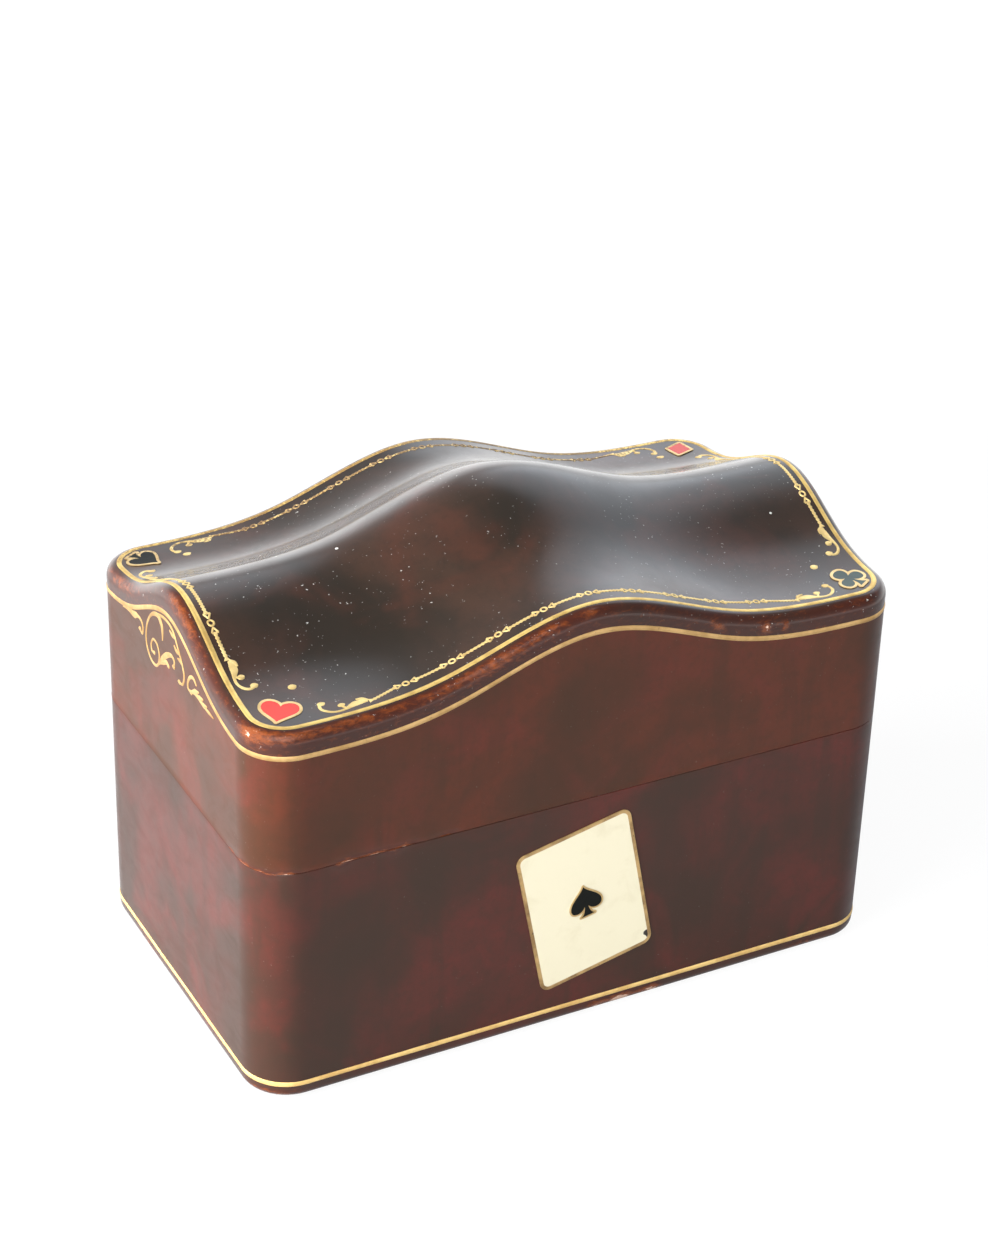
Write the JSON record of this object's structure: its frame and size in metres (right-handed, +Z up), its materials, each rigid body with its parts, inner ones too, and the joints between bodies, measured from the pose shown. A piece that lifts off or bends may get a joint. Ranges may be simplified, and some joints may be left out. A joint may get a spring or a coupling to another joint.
{
  "type": "playing card box with lift-off lid",
  "caption": "Leather-covered box for playing cards with a swelled lift-off lid, gilt lines, suits at the lid's corners and an ace of spades on its front.",
  "frame": {"origin": "the middle of the underside, on the surface that the box stands on", "axes": "+X to the right along the front, +Y to the back, +Z up"},
  "size_m": [0.1202, 0.0709, 0.0895],
  "materials": {
    "carcass_wood": "bare planed softwood",
    "base_leather": "dark red-brown calf, glazed",
    "lid_leather": "dark red-brown calf, glazed, mottled near black on top",
    "gilt": "gold tooling, worn",
    "ivory_enamel": "cream lacquered onlay",
    "black_enamel": "black lacquer",
    "green_enamel": "dark green lacquer",
    "red_enamel": "red lacquer",
    "collar_paper": "board covered with watered silk paper",
    "lid_lining": "watered silk on card",
    "pad_cloth": "silk over a thin pad",
    "underside_paper": "dark grained paper"
  },
  "bodies": {
    "base": {"base_front_board": "carcass_wood", "collar_front_board": "collar_paper", "base_back_board": "carcass_wood", "collar_back_board": "collar_paper", "base_left_board": "carcass_wood", "collar_left_board": "collar_paper", "base_right_board": "carcass_wood", "collar_right_board": "collar_paper", "base_floor_board": "carcass_wood", "base_underside_lining": "underside_paper", "base_leather_cover": "base_leather", "compartment_divider": "collar_paper", "front_compartment_pad": "pad_cloth", "back_compartment_pad": "pad_cloth", "base_gilt_line": "gilt", "ace_card_plaque": "ivory_enamel", "ace_card_gilt_border": "gilt", "ace_spade_pip": "black_enamel", "ace_spade_gilt_outline": "gilt"},
    "lid": {"lid_front_board": "carcass_wood", "lid_front_lining": "lid_lining", "lid_back_board": "carcass_wood", "lid_back_lining": "lid_lining", "lid_left_board": "carcass_wood", "lid_left_lining": "lid_lining", "lid_right_board": "carcass_wood", "lid_right_lining": "lid_lining", "lid_top_board": "carcass_wood", "lid_ceiling_lining": "lid_lining", "lid_leather_sides": "lid_leather", "lid_leather_top": "lid_leather", "lid_upper_gilt_line": "gilt", "lid_side_gilt_line": "gilt", "heart_onlay": "red_enamel", "diamond_onlay": "red_enamel", "spade_onlay": "black_enamel", "club_onlay": "green_enamel", "heart_gilt_outline": "gilt", "diamond_gilt_outline": "gilt", "spade_gilt_outline": "gilt", "club_gilt_outline": "gilt"}
  },
  "joints": [
    {"name": "lid_lift", "type": "slide", "parent": "base", "child": "lid", "axis": [0, 0, 1], "range_m": [0, 0.055]}
  ]
}
